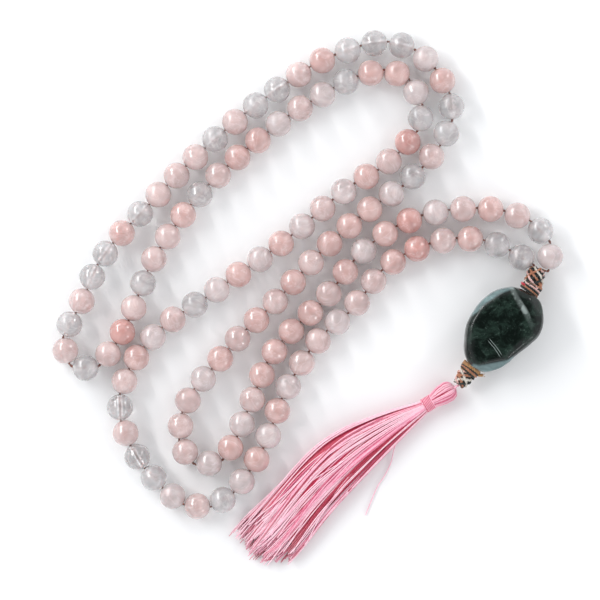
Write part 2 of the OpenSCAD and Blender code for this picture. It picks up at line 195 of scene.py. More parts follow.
class Shop:
    """The nodes of a material or a world that is being made."""

    def __init__(self, owner: bpy.types.Material | bpy.types.World) -> None:
        """Empties the owner's tree.

        Args:
            owner: The material or the world.
        """
        owner.use_nodes = True
        self.tree = owner.node_tree
        self.tree.nodes.clear()

    def node(self, kind: str, settings: dict[str, object] | None = None,
             sockets: dict[str | int, object] | None = None, output: int = 0) -> Flow:
        """Makes one node.

        Args:
            kind: The node's type.
            settings: Its own settings, set first.
            sockets: Values or flows of its inputs, by name or number.
            output: Which output to give back.

        Returns:
            That output.
        """
        made = self.tree.nodes.new(kind)
        for key, value in (settings or {}).items():
            setattr(made, key, value)
        for key, value in (sockets or {}).items():
            if isinstance(value, Flow):
                self.tree.links.new(value.socket, made.inputs[key])
            elif isinstance(value, tuple) and len(value) == 3 and made.inputs[key].type == "RGBA":
                made.inputs[key].default_value = (*value, 1)
            else:
                made.inputs[key].default_value = value
        return Flow(self, made.outputs[output])

    def place(self) -> Flow:
        """The point on the piece at rest, in metres."""
        return self.node("ShaderNodeTexCoord", {}, {}, 3)

    def cloud(self, where: Flow, scale: float, detail: float = 3.0, rough: float = 0.5,
              bend: float = 0.0) -> Flow:
        """Noise from 0 to 1 with scale features in a metre, finer layers and a distortion.

        Args:
            where: The point.
            scale: Number of features in a metre.
            detail: Number of finer layers.
            rough: Share of the finer layers.
            bend: Distortion.

        Returns:
            The noise.
        """
        return self.node("ShaderNodeTexNoise", {},
                         {"Vector": where, "Scale": scale, "Detail": detail, "Roughness": rough,
                          "Distortion": bend})

    def toward(self, where: Flow, direction: Vector) -> Flow:
        """How far the point lies along a direction, in metres."""
        return self.node("ShaderNodeVectorMath", {"operation": "DOT_PRODUCT"},
                         {0: where, 1: tuple(direction)}, 1)

    def mix(self, share: object, first: object, second: object) -> Flow:
        """Colour between two colours."""
        return self.node("ShaderNodeMix", {"data_type": "RGBA"},
                         {0: share, 6: first, 7: second}, 2)

    def surface(self, **sockets: object) -> Flow:
        """A Principled shader with its sockets named by words joined with underscores."""
        return self.node("ShaderNodeBsdfPrincipled", {},
                         {key.replace("_", " "): value for key, value in sockets.items()})

    def blended(self, share: object, first: Flow, second: Flow) -> Flow:
        """Mix of two shaders."""
        return self.node("ShaderNodeMixShader", {}, {0: share, 1: first, 2: second})

    def finished(self, kind: str, shader: Flow) -> None:
        """Ends the tree in an output node of that kind."""
        made = self.tree.nodes.new(kind)
        self.tree.links.new(shader.socket, made.inputs["Surface"])


# --- finishes


@dataclass(frozen=True)
class Finish:
    """Anything that gives a material. Each finish makes its material once."""

    name: str
    slot: str

    def shader(self, shop: Shop) -> Flow:
        """The whole surface, made in the shop."""
        raise NotImplementedError

    def material(self) -> bpy.types.Material:
        """The finish's material, made at its first use.

        Returns:
            The material.
        """
        name = f"{self.name}_finish"
        made = bpy.data.materials.get(name)
        if made is None:
            made = bpy.data.materials.new(name)
            shop = Shop(made)
            shop.finished("ShaderNodeOutputMaterial", self.shader(shop))
        return made


@dataclass(frozen=True)
class Quartz(Finish):
    """Polished rose quartz of one tint: a clear glassy stone with milky clouds and veins."""

    glass: Colour
    body: Colour
    bloom: Colour
    milk: tuple[float, float]

    def shader(self, shop: Shop) -> Flow:
        """Mixes the clear stone and its milky clouds.

        Args:
            shop: The shop that makes the nodes.

        Returns:
            The mixed stone.
        """
        where = shop.place()
        cloud = shop.cloud(where, 140, 3, 0.5, 0.7).band(0.3, 0.72)
        haze = shop.cloud(where, 620, 2, 0.6)
        seam = abs(shop.cloud(where, 150, 4, 0.62, 0.6) - 0.5).band(0.035, 0.0)
        milky = self.milk[0] + (self.milk[1] - self.milk[0]) * cloud + seam * 0.05 + haze * 0.06
        tinted = shop.mix(cloud, self.body, self.bloom)
        veined = shop.mix(seam * 0.2, tinted, colour(240, 228, 226))
        clear = shop.surface(Base_Color=self.glass, Roughness=0.1, IOR=1.46,
                             Transmission_Weight=1.0, Coat_Weight=1.0, Coat_Roughness=0.13)
        milk = shop.surface(Base_Color=veined, Roughness=0.24, IOR=1.54, Subsurface_Weight=1.0,
                            Subsurface_Radius=(1.0, 0.85, 0.82), Subsurface_Scale=0.0022,
                            Coat_Weight=1.0, Coat_Roughness=0.13)
        return shop.blended(milky, clear, milk)


@dataclass(frozen=True)
class Thread(Finish):
    """Twisted or waxed cord: fine slanting fibres, worn lighter in patches."""

    shade: Colour
    worn: Colour
    rough: float = 0.62
    sheen: float = 0.25

    def shader(self, shop: Shop) -> Flow:
        """Colours and raises the fibres.

        Args:
            shop: The shop that makes the nodes.

        Returns:
            The cord's surface.
        """
        where = shop.place()
        fibre = shop.cloud(where, 5200, 2, 0.7)
        patch = shop.cloud(where, 900, 2, 0.6).band(0.35, 0.75)
        shade = shop.mix(patch * 0.6 + fibre * 0.35, self.shade, self.worn)
        return shop.surface(Base_Color=shade, Roughness=self.rough, Sheen_Weight=self.sheen,
                            Sheen_Roughness=0.4, Normal=fibre.bump(0.5, 0.00008))


@dataclass(frozen=True)
class Silk(Finish):
    """Dyed silk thread with a soft gloss, bleached and frayed near the tips."""

    shade: Colour
    light: Colour
    root: Vector
    along: Vector
    bleach_from: float = 0.050
    bleach_to: float = 0.074
    tip: Colour = colour(238, 205, 212)

    def shader(self, shop: Shop) -> Flow:
        """Colours the silk from its root to its tips.

        Args:
            shop: The shop that makes the nodes.

        Returns:
            The silk's surface.
        """
        where = shop.place()
        strands = shop.cloud(where, 1500, 3, 0.6)
        patch = shop.cloud(where, 240, 2, 0.5).band(0.35, 0.7)
        shade = shop.mix(strands.band(0.3, 0.75) * 0.6 + patch * 0.25, self.shade, self.light)
        reach = shop.toward(where, self.along) - self.root.dot(self.along)
        bleach = (reach + strands * 0.012).band(self.bleach_from, self.bleach_to) * 0.3
        return shop.surface(Base_Color=shop.mix(bleach, shade, self.tip), Roughness=0.42,
                            Sheen_Weight=0.35, Sheen_Roughness=0.35,
                            Specular_IOR_Level=0.45, Normal=strands.bump(0.3, 0.0001))


@dataclass(frozen=True)
class GuruPolish(Finish):
    """Polished dark green-black stone with grey-green mottling and thin pale veins, with a painted highlight
    streak and painted reflections on two bevels.
    """

    root: Vector
    along: Vector
    middle: Vector
    dark: Colour = colour(5, 14, 10)
    moss: Colour = colour(36, 54, 46)
    fleck: Colour = colour(104, 122, 114)
    # Pale colour of the thin veins, and of the painted highlight streak.
    vein_and_highlight: Colour = colour(158, 170, 166)
    # worn: grey-teal painted reflection of the two fill lights, laid on the bevels that face them.
    worn: Colour = colour(136, 162, 164)

    def shader(self, shop: Shop) -> Flow:
        """Mottles the stone, draws its veins and paints a highlight streak and reflections on two bevels.

        Args:
            shop: The shop that makes the nodes.

        Returns:
            The stone's surface.
        """
        where = shop.place()
        side = across(self.along)
        reach = shop.toward(where, self.along) - self.root.dot(self.along)
        aside = shop.toward(where, side) - self.root.dot(side)
        mottle = shop.cloud(where, 230, 5, 0.7, 0.5).band(0.42, 0.7)
        grit = shop.cloud(where, 1500, 4, 0.75).band(0.56, 0.78)
        wander = (shop.cloud(where, 120, 3, 0.5) - 0.5) * 0.004
        broken = shop.cloud(where, 420, 3, 0.6).band(0.42, 0.62)
        # The broad pale streak across the stone's upper end is a painted highlight along a bevel's edge; pale
        # holds it to part of the width.
        highlight_streak = abs(reach - aside * 0.48 - 0.0047 + wander * 0.5).band(0.0012, 0.0002)
        pale = aside.band(-0.0085, -0.0055) * aside.band(0.0085, 0.001) * (0.3 + broken * 0.7)
        hair = abs(reach - aside * 0.3 - 0.0190 + wander * 0.4).band(0.00016, 0.00003)
        twin = abs(reach - aside * 0.3 - 0.0198 + wander * 0.4).band(0.00016, 0.00003)
        inside = abs(aside - 0.0018).band(0.0034, 0.0022)
        shade = shop.mix(mottle * 0.75, self.dark, self.moss)
        shade = shop.mix(grit * (0.15 + mottle * 0.75), shade, self.fleck)
        shade = shop.mix(highlight_streak * pale * 0.75 + (hair + twin) * inside * 0.6, shade, self.vein_and_highlight)
        height = shop.toward(where, UP)
        upper = shop.toward(where, heading(124)) - self.middle.dot(heading(124))
        lower = shop.toward(where, heading(281)) - self.middle.dot(heading(281))
        # The two bevels facing the upper-left and lower fill lights get a painted reflection of those lights.
        slope = height.band(0.0118, 0.0110) * height.band(0.0052, 0.0075)
        bevel_glint = (upper.band(0.0079, 0.0090) + lower.band(0.0082, 0.0094)) * slope
        shade = shop.mix(bevel_glint * (0.45 + mottle * 0.3), shade, self.worn)
        return shop.surface(Base_Color=shade, Roughness=0.18 + mottle * 0.14, IOR=1.5,
                            Specular_IOR_Level=0.22, Coat_Weight=0.2, Coat_Roughness=0.08,
                            Normal=(mottle * 0.5 + grit * 0.5).bump(0.3, 0.00014))


@dataclass(frozen=True)
class Paper(Finish):
    """Plain pale matt floor."""

    shade: Colour

    def shader(self, shop: Shop) -> Flow:
        """A matt surface with a faint, even grain.

        Args:
            shop: The shop that makes the nodes.

        Returns:
            The floor's surface.
        """
        grain = shop.cloud(shop.place(), 60, 2, 0.5)
        return shop.surface(Base_Color=shop.mix(grain * 0.2, self.shade, (0.92, 0.92, 0.92)),
                            Roughness=0.9, Specular_IOR_Level=0.1)


class Tint(Enum):
    """The tints of the beads."""

    CLEAR = "C"
    MILKY = "M"
    BLUSH = "B"
    ROSE = "R"
    DEEP = "D"


QUARTZ: dict[Tint, Quartz] = {
    tint: Quartz(*(f"quartz_{tint.name.lower()}",) * 2, glass, colour(*body), colour(*bloom), milk)
    for tint, glass, body, bloom, milk in (
        (Tint.CLEAR, (0.985, 0.975, 0.975), (232, 226, 226), (238, 233, 233), (0.12, 0.28)),
        (Tint.MILKY, (0.975, 0.935, 0.93), (232, 217, 216), (240, 226, 225), (0.34, 0.52)),
        (Tint.BLUSH, (0.975, 0.89, 0.88), (229, 204, 201), (236, 213, 210), (0.4, 0.57)),
        (Tint.ROSE, (0.96, 0.83, 0.81), (226, 190, 185), (233, 201, 196), (0.46, 0.62)),
        (Tint.DEEP, (0.95, 0.74, 0.71), (216, 168, 162), (228, 182, 175), (0.52, 0.68)))
}
CORD_BROWN = Thread("cord_brown", "cord_brown", colour(110, 62, 52), colour(158, 104, 88))
BRAID_BLACK = Thread("braid_black", "braid_dark", colour(14, 18, 16), colour(44, 48, 42))
BRAID_COPPER = Thread("braid_copper", "braid_copper", colour(150, 92, 64), colour(196, 140, 108))
BRAID_PINK = Thread("braid_pink", "braid_copper", colour(206, 160, 152), colour(236, 206, 200))
BRAID_WHITE = Thread("braid_white", "braid_copper", colour(188, 180, 168), colour(232, 226, 216))
CRIMSON = Thread("thread_crimson", "thread_crimson", colour(176, 22, 48), colour(214, 60, 82))
CORD_TAN = Thread("cord_tan", "cord_tan", colour(150, 106, 62), colour(196, 150, 100))


# --- mesh making


def resampled(points: Sequence[Vector], step: float) -> list[Vector]:
    """Points at even spacing along a line.

    Args:
        points: The line's corners.
        step: Wanted spacing in metres.

    Returns:
        The new points, with both ends kept.
    """
    lengths = [0.0]
    for before, after in zip(points, points[1:]):
        lengths.append(lengths[-1] + (after - before).length)
    count = max(2, round(lengths[-1] / step) + 1)
    wanted = np.linspace(0, lengths[-1], count)
    columns = [np.interp(wanted, lengths, [p[k] for p in points]) for k in range(3)]
    return [Vector(p) for p in zip(*columns)]


def read_off(table: Sequence[Sequence[float]], at: float, column: int = 1) -> float:
    """A value between the rows of a table whose first column is the place."""
    return float(np.interp(at, [row[0] for row in table], [row[column] for row in table]))


def relaxed(points: Sequence[Vector], passes: int) -> list[Vector]:
    """The line with its corners rounded by averaging neighbours, and its ends kept.

    Args:
        points: The line.
        passes: Number of times that it is averaged.

    Returns:
        The rounded line.
    """
    line = [p.copy() for p in points]
    for _ in range(passes):
        line = [line[0]] + [(a + b * 2 + c) / 4 for a, b, c in zip(line, line[1:], line[2:])] \
            + [line[-1]]
    return line


def curve_through(points: Sequence[Vector], step: float) -> list[Vector]:
    """A smooth line through given points.

    Args:
        points: The places it passes.
        step: Spacing of the returned points in metres.

    Returns:
        The line's points.
    """
    ends = [points[0] * 2 - points[1], *points, points[-1] * 2 - points[-2]]
    line = []
    for a, b, c, d in zip(ends, ends[1:], ends[2:], ends[3:]):
        for k in range(8):
            t = k / 8
            line.append(b + (c - a) * (t / 2) + (a * 2 - b * 5 + c * 4 - d) * (t * t / 2)
                        + (b * 3 - a - c * 3 + d) * (t * t * t / 2))
    return resampled([*line, points[-1]], step)


def square_to(along: Vector) -> Vector:
    """A unit vector square to a direction, and level unless that direction is upright."""
    return along.cross(UP if abs(along.z) < 0.9 else Vector((1, 0, 0))).normalized()


def steered(line: Sequence[Vector]) -> Iterator[tuple[Vector, Vector, Vector]]:
    """Each point of a line with two directions square to it, which don't twist on the way.

    Args:
        line: The line's points.

    Returns:
        The point, the side and the up direction of each.
    """
    side = square_to((line[1] - line[0]).normalized())
    for i, centre in enumerate(line):
        ahead = (line[min(i + 1, len(line) - 1)] - line[max(i - 1, 0)]).normalized()
        side = (side - ahead * side.dot(ahead)).normalized()
        yield centre, side, ahead.cross(side)


class Weave:
    """Vertices and faces gathered for one mesh."""

    def __init__(self) -> None:
        """Starts empty."""
        self.points: list[Vector] = []
        self.faces: list[Sequence[int]] = []
        self.skinned = 0

    def ring(self, centre: Vector, side: Vector, up: Vector, radius: float, sides: int) -> None:
        """Adds the points of one round section."""
        self.points += [centre + spoke(side, up, 2 * math.pi * k / sides) * radius
                        for k in range(sides)]

    def skin(self, sides: int) -> "Weave":
        """Closes the rings of points that have no faces yet, with a cap at each end.

        Args:
            sides: Number of points in a ring.

        Returns:
            This weave.
        """
        first, last = self.skinned, len(self.points) - sides
        for low in range(first, last, sides):
            for k in range(sides):
                a, b = low + k, low + (k + 1) % sides
                self.faces.append((a, b, b + sides, a + sides))
        self.faces.append([first + k for k in range(sides)][::-1])
        self.faces.append([last + k for k in range(sides)])
        self.skinned = len(self.points)
        return self

    def tube(self, line: Sequence[Vector], radius: float | Callable[[float], float],
             sides: int = 8) -> "Weave":
        """Adds a round rod along a line.

        Args:
            line: Its centreline.
            radius: Its radius in metres, or the radius at a share of its length.
            sides: Number of sides.

        Returns:
            This weave.
        """
        for i, (centre, side, up) in enumerate(steered(line)):
            r = radius(i / (len(line) - 1)) if callable(radius) else radius
            self.ring(centre, side, up, r, sides)
        return self.skin(sides)

    def plies(self, line: Sequence[Vector], radius: float, pitch: float, count: int = 2,
              sides: int = 6, start: float = 0.0) -> "Weave":
        """Adds a cord of twisted plies along a line.

        Args:
            line: Its centreline, at even spacing.
            radius: The cord's whole radius.
            pitch: Length of one turn of the twist.
            count: Number of plies.
            sides: Sides of each ply.
            start: Angle of the first ply.

        Returns:
            This weave.
        """
        ply = radius * (0.52 if count == 2 else 0.46)
        rails: list[list[Vector]] = [[] for _ in range(count)]
        run, before = 0.0, line[0]
        for centre, side, up in steered(line):
            run += (centre - before).length
            before = centre
            for k, rail in enumerate(rails):
                turn = start + 2 * math.pi * (run / pitch + k / count)
                rail.append(centre + spoke(side, up, turn) * (radius - ply))
        for rail in rails:
            self.tube(rail, ply, sides)
        return self

    def turned(self, start: Vector, along: Vector, profile: Sequence[tuple[float, float]],
               sides: int = 48) -> "Weave":
        """Adds a body of revolution.

        Args:
            start: Where its axis starts.
            along: The axis's direction.
            profile: Pairs of distance along the axis and radius, in metres.
            sides: Number of sides.

        Returns:
            This weave.
        """
        side = square_to(along)
        for at, radius in profile:
            self.ring(start + along * at, side, along.cross(side), radius, sides)
        return self.skin(sides)

    def piece(self, name: str, finish: Finish, body: str, replaces: Sequence[str] = (),
              crisp: float = 50.0) -> bpy.types.Object:
        """Makes the gathered mesh an object of the mala.

        Args:
            name: The piece's name.
            finish: Its finish.
            body: The body that it rides on.
            replaces: The CAD nodes that it stands for.
            crisp: Angle in degrees above which an edge shades sharp.

        Returns:
            The object.
        """
        made = shell(name, self.points, self.faces)
        smoothed(made, crisp)
        return dressed(made, finish, body, replaces)


def dressed(made: bpy.types.Object, finish: Finish, body: str,
            replaces: Sequence[str] = ()) -> bpy.types.Object:
    """Gives an object its finish, its body and the CAD nodes that it stands for.

    Args:
        made: The object.
        finish: Its finish.
        body: The body that it rides on, or "" for a piece that rides on none.
        replaces: The CAD nodes.

    Returns:
        The object.
    """
    made.data.materials.clear()
    made.data.materials.append(finish.material())
    if body:
        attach(made, body)
    if replaces:
        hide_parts(*replaces)
    log.info("%s: %d faces, rides on %s", made.name, len(made.data.polygons), body or "a blend")
    return made


# --- the strand


@dataclass
class Frame:
    """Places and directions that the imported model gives."""

    joints: dict[str, dict] = field(
        default_factory=lambda: {joint["name"]: joint for joint in frame["joints"]})
    bodies: dict[str, str] = field(
        default_factory=lambda: {node: body for body, nodes in
                                 frame["record"]["behaviour"]["bodies"].items() for node in nodes})

    def pin(self, joint: str) -> Vector:
        """Where a joint's axis stands."""
        return Vector(self.joints[joint]["pos_m"])

    def axis(self, joint: str) -> Vector:
        """A joint's axis."""
        return Vector(self.joints[joint]["axis"])


@dataclass
class Strand:
    """The quartz beads and the cord that they are strung on."""

    places: Frame
    tints: str = ("MCBRBMDRMRBRRRRBMRMBBBMRBRBRBRRRMCBCCRMCCCRBCCBCBBBCRCCBCB"
                  "CBDBCBBRCBRRMBMCRRMCDBRMBMRMRMCBMRBCBCCMBCMRMRMBBMBBRDBRCC")
    radius: float = 4.0 * MM
    bore: float = 0.55 * MM
    mouth: float = 0.82 * MM
    sink: float = 0.35 * MM
    cord_radius: float = 0.4 * MM
    cord_step: float = 0.36 * MM
    twist: float = 2.3 * MM
    chamfer: float = 0.08 * MM
    sides: int = 44
    arc_steps: int = 30
    centres: list[Vector] = field(default_factory=list)
    owners: list[str] = field(default_factory=list)
    axes: list[Vector] = field(default_factory=list)

    def __post_init__(self) -> None:
        """Finds every bead in the frame, in stringing order."""
        meeting = self.places.pin("pendant_swing")
        nodes = sorted((n for n in frame["nodes"] if n.startswith("bead")),
                       key=lambda n: int(n.split("_")[1]))
        last = meeting
        for node in nodes:
            left = self._balls(frame["nodes"][node])
            while left:
                near = min(left, key=lambda c: (c - last).length)
                left.remove(near)
                self.centres.append(near)
                self.owners.append(node)
                last = near
        line = [meeting, *self.centres, meeting]
        self.axes = [(c - a).normalized() for a, c in zip(line, line[2:])]
        self._settle()
        log.info("strand: %d beads in %d nodes", len(self.centres), len(nodes))

    def _settle(self, passes: int = 20, share: float = 0.2) -> None:
        """Turns each bead until its bore halves the bend of the cord through it.

        Args:
            passes: Number of rounds.
            share: Share of the turn made in a round.
        """
        for _ in range(passes):
            runs = [(self._mouth(i + 1, -1) - self._mouth(i, 1)).normalized()
                    for i in range(len(self.axes) - 1)]
            halved = [(a + b).normalized() for a, b in zip(runs, runs[1:])]
            self.axes[1:-1] = [(old * (1 - share) + new * share).normalized()
                               for old, new in zip(self.axes[1:-1], halved)]

    def _balls(self, node: bpy.types.Object) -> list[Vector]:
        """Centres of the separate balls in a CAD node.

        Args:
            node: The node's object.

        Returns:
            The centres, in no order.
        """
        work = bmesh.new()
        work.from_mesh(node.data)
        bmesh.ops.remove_doubles(work, verts=work.verts, dist=1e-6)
        unseen, found = set(work.verts), []
        while unseen:
            stack = [unseen.pop()]
            ball = []
            while stack:
                vertex = stack.pop()
                ball.append(vertex.co.copy())
                for edge in vertex.link_edges:
                    other = edge.other_vert(vertex)
                    if other in unseen:
                        unseen.remove(other)
                        stack.append(other)
            low = Vector([min(p[k] for p in ball) for k in range(3)])
            high = Vector([max(p[k] for p in ball) for k in range(3)])
            found.append((low + high) / 2)
        work.free()
        return found

    def _blank(self) -> tuple[np.ndarray, list[tuple[int, ...]]]:
        """One drilled bead on the Z axis: its vertices and faces.

        Returns:
            The vertices and the faces.
        """
        edge = math.asin(self.mouth / self.radius)
        arc = [edge + (math.pi - 2 * edge) * k / self.arc_steps for k in range(self.arc_steps + 1)]
        outer = [(self.radius * math.sin(a), self.radius * math.cos(a)) for a in arc]
        deep = self.radius - self.sink
        lip = outer[0][1] - 0.05 * MM
        inner, throat = self.mouth - self.chamfer, deep - self.chamfer
        profile = [(inner, lip), *outer, (inner, -lip), (self.bore + 0.03 * MM, -deep),
                   (self.bore, -throat), (self.bore, 0.0), (self.bore, throat),
                   (self.bore + 0.03 * MM, deep)]
        turns = [2 * math.pi * k / self.sides for k in range(self.sides)]
        points = np.array([(r * math.cos(t), r * math.sin(t), z) for r, z in profile for t in turns])
        count, rows = self.sides, len(profile)
        faces = [(i * count + k, (i + 1) % rows * count + k,
                  (i + 1) % rows * count + (k + 1) % count, i * count + (k + 1) % count)
                 for i in range(rows) for k in range(count)]
        return points, faces

    def beads(self) -> None:
        """Makes every bead in the tint of its place."""
        points, faces = self._blank()
        for i, (centre, axis, owner) in enumerate(zip(self.centres, self.axes, self.owners)):
            turn = axis.to_track_quat("Z", "Y").to_matrix()
            made = shell(f"quartz_bead_{i + 1:03d}", points @ np.array(turn).T + np.array(centre),
                         faces)
            smoothed(made, 60)
            dressed(made, QUARTZ[Tint(self.tints[i])], self.places.bodies[owner], [owner])

    def _mouth(self, i: int, side: int) -> Vector:
        """The middle of a bead's bore mouth, before (-1) or after (1) it."""
        return self.centres[i] + self.axes[i] * (side * (self.radius - self.sink))

    def _rim(self, i: int, side: int) -> Vector:
        """Where the cord bends clear of a bead, before (-1) or after (1) it."""
        return self.centres[i] + self.axes[i] * (side * (self.radius + self.cord_radius + 0.15 * MM))

    def _run(self, first: int, last: int) -> list[Vector]:
        """Cord points through a run of beads."""
        return [self._mouth(i, side) for i in range(first, last + 1) for side in (-1, 1)]

    def ends(self) -> tuple[Vector, Vector]:
        """Where the cord leaves the first and the last bead."""
        return self._rim(0, -1), self._rim(len(self.centres) - 1, 1)

    def _cord(self, points: Sequence[Vector], weave: Weave | None = None) -> Weave:
        """A two-ply cord through some points, added to a weave or alone in a new one."""
        line = relaxed(resampled(points, self.cord_step), 2)
        return (weave or Weave()).plies(line, self.cord_radius, self.twist)

    def cords(self) -> None:
        """Makes the stringing cord, with a short stretch at each end of each fold that rides on no body."""
        meeting, last = self.places.pin("pendant_swing"), len(self.centres) - 1
        folds, joined, free, lead = [], Weave(), 0, [meeting, self._rim(0, -1)]
        for body in ("lower_fold", "left_fold"):
            held = [i for i, bead in enumerate(self.owners) if self.places.bodies[bead] == body]
            folds.append((body, held[0], held[-1]))
            self._cord([*lead, *self._run(free, held[0] - 1)], joined)
            free, lead = held[-1] + 1, []
        self._cord([*self._run(free, last), self._rim(last, 1), meeting], joined)
        joined.piece("strung_cord", CORD_BROWN, "strand", ["stringing_cord"])
        for body, first, end in folds:
            node = f"cord_in_{body}"
            self._cord(self._run(first, end)).piece(f"strung_{node}", CORD_BROWN, body, [node])
            for name, before, after, bodies in (("start", first - 1, first, ("strand", body)),
                                                ("end", end, end + 1, (body, "strand"))):
                start, stop = self._mouth(before, 1), self._mouth(after, -1)
                reach = (stop - start).normalized() * 0.5 * MM
                piece = self._cord([start - reach, stop + reach]).piece(
                    f"{body}_cord_{name}", CORD_BROWN, "")
                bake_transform(piece)


# --- knots and collars


@dataclass
class Winding:
    """Cords in several finishes, each finish gathered into one piece."""

    name: str
    body: str
    weaves: dict[str, tuple[Finish, Weave]] = field(default_factory=dict)

    def weave(self, finish: Finish) -> Weave:
        """The weave of a finish."""
        return self.weaves.setdefault(finish.name, (finish, Weave()))[1]

    def pieces(self) -> None:
        """Makes the gathered pieces."""
        for finish, weave in self.weaves.values():
            weave.piece(f"{self.name}_{finish.name}", finish, self.body)


@dataclass
class Plait:
    """A knot plaited from cords that run both ways around a core."""

    start: Vector
    end: Vector
    girth: Sequence[tuple[float, float]]
    cord: float
    shades: Sequence[Thread]
    turns: float = 0.75
    carriers: int = 4
    lift: float = 0.22 * MM
    flat: float = 1.0
    twist: float = 1.5 * MM

    def _girth(self, t: float) -> float:
        """Radius of the plait's middle surface at a share of its length."""
        return read_off(self.girth, t)

    def _flatness(self, t: float) -> float:
        """Thickness of the knot as a share of its width, which goes from flat to round."""
        return self.flat + (1 - self.flat) * t

    def build(self, name: str, body: str, core: Finish, replaces: Sequence[str]) -> None:
        """Makes the core and the cords.

        Args:
            name: Start of the pieces' names.
            body: The body that they ride on.
            core: Finish of the core.
            replaces: CAD nodes that the core stands for.
        """
        along = (self.end - self.start).normalized()
        length = (self.end - self.start).length
        profile = [(length * t, max(self._girth(t) * self._flatness(t) - self.cord * 0.5,
                                    0.2 * MM)) for t in np.linspace(0, 1, 14)]
        Weave().turned(self.start, along, profile, 32).piece(f"{name}_core", core, body, replaces)
        side = along.cross(UP).normalized()
        up = along.cross(side)
        cords = Winding(name, body)
        for sense in (1, -1):
            for k in range(self.carriers):
                line = []
                for t in np.linspace(-0.02, 1.02, 44):
                    swept = 2 * math.pi * self.turns * t
                    wave = math.cos(self.carriers * swept + math.pi * k) * sense
                    thick = self._flatness(min(1.0, max(0.0, t) * 1.6))
                    turn = sense * swept + 2 * math.pi * k / self.carriers
                    line.append(self.start + along * (length * t)
                                + spoke(side, up * thick, turn) * (self._girth(t) + self.lift * wave))
                shade = self.shades[(k * 2 + (sense > 0)) % len(self.shades)]
                cords.weave(shade).plies(line, self.cord, self.twist, 2, 7, k)
        cords.pieces()


@dataclass
class Collar:
    """Cords wound side by side around the doubled cord, each turn in its own finish."""

    start: Vector
    along: Vector
    order: Sequence[Thread]
    lean: float
    stone_last: bool
    radius: float = 3.25 * MM
    cord: float = 0.42 * MM
    length: float = 2.34 * MM
    twist: float = 1.6 * MM

    def build(self, name: str, core: Thread, body: str, replaces: Sequence[str]) -> None:
        """Makes the core and its turns.

        Args:
            name: Start of the pieces' names.
            core: Finish of the core.
            body: The body that they ride on.
            replaces: CAD nodes that the core stands for.
        """
        side = self.along.cross(UP).normalized()
        up = self.along.cross(side)
        inner, lip = self.radius - self.cord * 1.5, 0.06 * MM
        profile = [(lip, inner * 0.5), (lip * 2, inner), (self.length - lip * 2, inner),
                   (self.length - lip, inner * 0.5)]
        Weave().turned(self.start, self.along, profile, 32).piece(
            f"{name}_core", core, body, replaces)
        cords = Winding(name, body)
        gaps = len(self.order) - 1
        step = (self.length - 2 * self.cord) / gaps
        for k, finish in enumerate(self.order):
            line = []
            for t in np.linspace(0, 1, 49):
                share = (k + t - 0.5) / gaps
                free = max(0.0, 1 - share if self.stone_last else share)
                at = self.cord + step * (k + (t - 0.5) * 0.7) \
                    + self.lean * free * math.cos(2 * math.pi * t)
                line.append(self.start + self.along * at
                            + spoke(side, up, 2 * math.pi * t + 0.9 * k)
                            * (self.radius - self.cord - 0.3 * MM * free ** 2))
            cords.weave(finish).plies(line, self.cord, self.twist, 2, 8, k)
        cords.pieces()


@dataclass
class CutEnd:
    """A short cut end of thread, splayed at its tip."""

    line: Sequence[Vector]
    radius: float
    finish: Thread

    def build(self, name: str, body: str, replaces: Sequence[str], seed: int) -> None:
        """Makes the twisted end and a few splayed fibres.

        Args:
            name: The piece's name.
            body: The body that it rides on.
            replaces: CAD nodes that it stands for.
            seed: Seed of the fibres.
        """
        rng = random.Random(seed)
        path = curve_through(self.line, 0.12 * MM)
        weave = Weave().plies(path, self.radius, 1.3 * MM, 3, 8)
        ahead = (path[-1] - path[-3]).normalized()
        for _ in range(9):
            off = Vector([rng.uniform(-1, 1) for _ in range(3)]) * self.radius * 0.7
            tip = path[-1] + ahead * rng.uniform(0.2, 0.5) * MM + off * 1.5
            weave.tube([path[-2] + off * 0.6, (path[-1] + tip) / 2 + off * 0.2, tip],
                       self.radius * 0.16, 5)
        weave.piece(name, self.finish, body, replaces)


# --- guru stone


